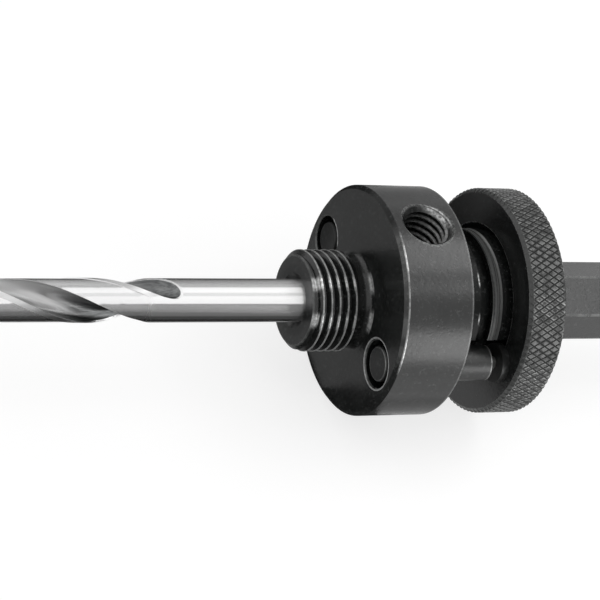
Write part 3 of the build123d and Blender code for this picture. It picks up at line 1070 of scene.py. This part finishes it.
# Camera, fitted to the photograph's outlines: its place, and the way that it looks and holds its top
CAMERA_PLACE = Vector((-175.319, -219.874, 254.802)) * MM
CAMERA_WAY = Vector((0.4434, 0.58566, -0.67850))
CAMERA_TOP = Vector((0.0, 0.75700, 0.65342))

# Soft boxes: name, place, point that the box faces, width and height, in millimetres
SOFT_BOXES = (
    ("soft_box_over", (173, 18, 250), (173, 18, 0), 105, 160),
    ("soft_box_front", (75, -90, 11), (75, 0, 11), 82, 46),
    ("soft_box_shank", (205, -130, 250), (205, -130, 0), 90, 80),
)

# Planes that the cards lie or stand in, in millimetres
FLOOR_Z = -18
OVER_Z = 249
FRONT_Y = -90
BACK_Y = 250


def flat_card(z, x_from, x_to, y_from, y_to):
    return [(x, y, z) for x, y in ((x_from, y_from), (x_to, y_from), (x_to, y_to), (x_from, y_to))]


def standing_card(y, x_from, x_to, z_from, z_to):
    return [(x, y, z) for x, z in ((x_from, z_from), (x_to, z_from), (x_to, z_to), (x_from, z_to))]


# Cards that the steel mirrors: name, brightness and corners
CARDS = (
    ("card_front", 0.2, standing_card(FRONT_Y, -120, 33, FLOOR_Z, 53)),
    ("card_front_floor", 0.14, flat_card(FLOOR_Z, -120, 8, FRONT_Y, -45)),
    ("card_front_floor_middle", 0.13, flat_card(FLOOR_Z, -120, 8, -45, -26)),
    ("card_front_floor_near", 0.05, flat_card(FLOOR_Z, -120, 8, -26, -12)),
    # Painted shadow: the dark cards under the drill, the body and the collar stand in for the object's shadow
    # on the floor, as the steel mirrors it.
    ("card_under", 0.01, flat_card(FLOOR_Z, -75, -1, -12, -3)),
    ("card_under_back", 0.3, flat_card(FLOOR_Z, -75, -1, -3, 60)),
    ("card_under_body", 0.03, flat_card(FLOOR_Z, -1, 34, 0, 60)),
    ("card_under_collar", 0.03, flat_card(FLOOR_Z, -1, 11, -12, 0)),
    ("card_under_ring", 0.55, flat_card(FLOOR_Z, 11, 34, -12, 0)),
    ("card_bounce", 1.1, flat_card(FLOOR_Z, 8, 48, -62, -36)),
    ("card_bounce_middle", 0.9, flat_card(FLOOR_Z, 8, 48, -36, -25)),
    ("card_bounce_near", 0.47, flat_card(FLOOR_Z, 8, 48, -25, -13)),
    ("card_back_floor", 0.04, flat_card(FLOOR_Z, -75, 36, 60, BACK_Y)),
    ("card_back_floor_right", 0.42, flat_card(FLOOR_Z, 36, 160, 60, BACK_Y)),
    ("card_back_low", 0.08, standing_card(BACK_Y, -75, 110, FLOOR_Z, 20)),
    ("card_back_low_right", 0.42, standing_card(BACK_Y, 110, 160, FLOOR_Z, 20)),
    ("card_back_middle", 0.45, standing_card(BACK_Y, 60, 160, 20, 70)),
    ("card_back_high", 0.75, standing_card(BACK_Y, 60, 200, 70, 280)),
    ("card_back_left", 0.17, standing_card(BACK_Y, -75, 60, 20, 280)),
    ("card_over_back", 0.34, flat_card(OVER_Z, -170, 60, 135, BACK_Y)),
    ("card_over", 0.7, flat_card(OVER_Z, -170, 110, -86, -10)),
)


def add_camera(lens):
    bpy.ops.object.select_all(action="DESELECT")
    back = -CAMERA_WAY.normalized()
    across = CAMERA_TOP.cross(back).normalized()
    turn = Matrix((across, back.cross(across), back)).transposed()
    bpy.ops.object.camera_add(location=CAMERA_PLACE, rotation=turn.to_euler())
    camera = bpy.context.object
    camera.data.sensor_width = 36.0
    camera.data.lens = lens
    camera.data.clip_start = 0.01
    camera.data.clip_end = 100.0
    bpy.context.scene.camera = camera


def add_soft_box(name, place, target, width, height, brightness):
    """An area light whose face has that brightness, turned to its target."""
    bpy.ops.object.select_all(action="DESELECT")
    place = Vector(place) * MM
    way = Vector(target) * MM - place
    bpy.ops.object.light_add(type="AREA", location=place, rotation=way.to_track_quat("-Z", "Y").to_euler())
    light = bpy.context.object
    light.name = name
    light.data.shape = "RECTANGLE"
    light.data.size = width * MM
    light.data.size_y = height * MM
    light.data.energy = brightness * pi * width * height * MM * MM
    light.visible_camera = False


def add_plane(name, size, place, colour, glow_colour, glow):
    """A matt plane of the stage that glows."""
    bpy.ops.object.select_all(action="DESELECT")
    bpy.ops.mesh.primitive_plane_add(size=size, location=place)
    plane = bpy.context.object
    plane.name = name
    material, _, shader = new_material(name)
    shader.inputs["Base Color"].default_value = rgba(colour)
    shader.inputs["Roughness"].default_value = 1.0
    shader.inputs["Specular IOR Level"].default_value = 0.0
    shader.inputs["Emission Color"].default_value = rgba(glow_colour)
    shader.inputs["Emission Strength"].default_value = glow
    plane.data.materials.append(material)
    plane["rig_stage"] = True
    return plane


def add_card(name, shade, corners):
    """A card that only reflections see. corners go round it, while a plane's vertices lie in two rows."""
    card = add_plane(name, 1, (0, 0, 0), (0, 0, 0), (shade, shade, shade), 1.0)
    for index, corner in zip((0, 1, 3, 2), corners):
        card.data.vertices[index].co = Vector(corner) * MM
    card.visible_camera = False
    card.visible_diffuse = False
    card.visible_transmission = False
    card.visible_shadow = False


def add_floor(colour, glow):
    lowest = min(RING_LOW.z, -COLLAR_R)
    add_plane("floor", 6.0, (0, 0, lowest), colour, (1, 1, 1), glow)


def set_world(strength):
    """Even light from all round, and a plain white surround for the camera and for reflections."""
    world = bpy.data.worlds.new("studio")
    bpy.context.scene.world = world
    world.use_nodes = True
    tree = world.node_tree
    background = tree.nodes["Background"]
    background.inputs["Color"].default_value = (1, 1, 1, 1)
    path = add_node(tree, "ShaderNodeLightPath")
    seen = maths(tree, "MAXIMUM", path.outputs["Is Camera Ray"], path.outputs["Is Glossy Ray"])
    seen = maths(tree, "MAXIMUM", seen, path.outputs["Is Transmission Ray"])
    plug(tree, background.inputs["Strength"], blend_value(tree, seen, strength, 1.0))


class ARBOR_OT_stage(bpy.types.Operator):
    """Set the floor, the soft boxes, the cards and the camera."""

    bl_idname = "arbor.stage"
    bl_label = "Studio"

    def execute(self, context):
        stage = context.scene.arbor_stage
        add_floor(stage.floor, stage.floor_glow)
        set_world(stage.world)
        for box in SOFT_BOXES:
            add_soft_box(*box, stage.soft_box)
        for card in CARDS:
            add_card(*card)
        add_camera(stage.lens)
        context.scene.view_settings.view_transform = "Standard"
        return {"FINISHED"}


class ARBOR_PT_steps(bpy.types.Panel):
    """The steps that dress the arbor."""

    bl_idname = "ARBOR_PT_steps"
    bl_label = "Hole Saw Arbor"
    bl_space_type = "VIEW_3D"
    bl_region_type = "UI"
    bl_category = "Arbor"

    def draw(self, context):
        layout = self.layout
        scene = context.scene
        for settings in (scene.arbor_threads, scene.arbor_finish, scene.arbor_stage):
            column = layout.column()
            for name in settings.bl_rna.properties.keys():
                if name not in ("rna_type", "name"):
                    column.prop(settings, name)
        for step in STEPS:
            layout.operator(step.bl_idname)


STEPS = (
    ARBOR_OT_body,
    ARBOR_OT_set_screw,
    ARBOR_OT_pilot_drill,
    ARBOR_OT_drive_ring,
    ARBOR_OT_spring_rings,
    ARBOR_OT_stage,
)
SETTINGS = {
    "arbor_threads": ArborThreads,
    "arbor_finish": ArborFinish,
    "arbor_stage": ArborStage,
}


def register():
    for kind in (*SETTINGS.values(), *STEPS, ARBOR_PT_steps):
        bpy.utils.register_class(kind)
    for name, kind in SETTINGS.items():
        setattr(bpy.types.Scene, name, bpy.props.PointerProperty(type=kind))


def unregister():
    for name in SETTINGS:
        delattr(bpy.types.Scene, name)
    for kind in (ARBOR_PT_steps, *reversed(STEPS), *reversed(SETTINGS.values())):
        bpy.utils.unregister_class(kind)


def main():
    register()
    bpy.ops.arbor.body()
    bpy.ops.arbor.set_screw()
    bpy.ops.arbor.pilot_drill()
    bpy.ops.arbor.drive_ring()
    bpy.ops.arbor.spring_rings()
    bpy.ops.arbor.stage()
    boxes = {"cad": CAD_BOX, "visual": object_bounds()}
    {name: [list(corner) for corner in box] for name, box in boxes.items()}


if __name__ == "__main__":
    main()
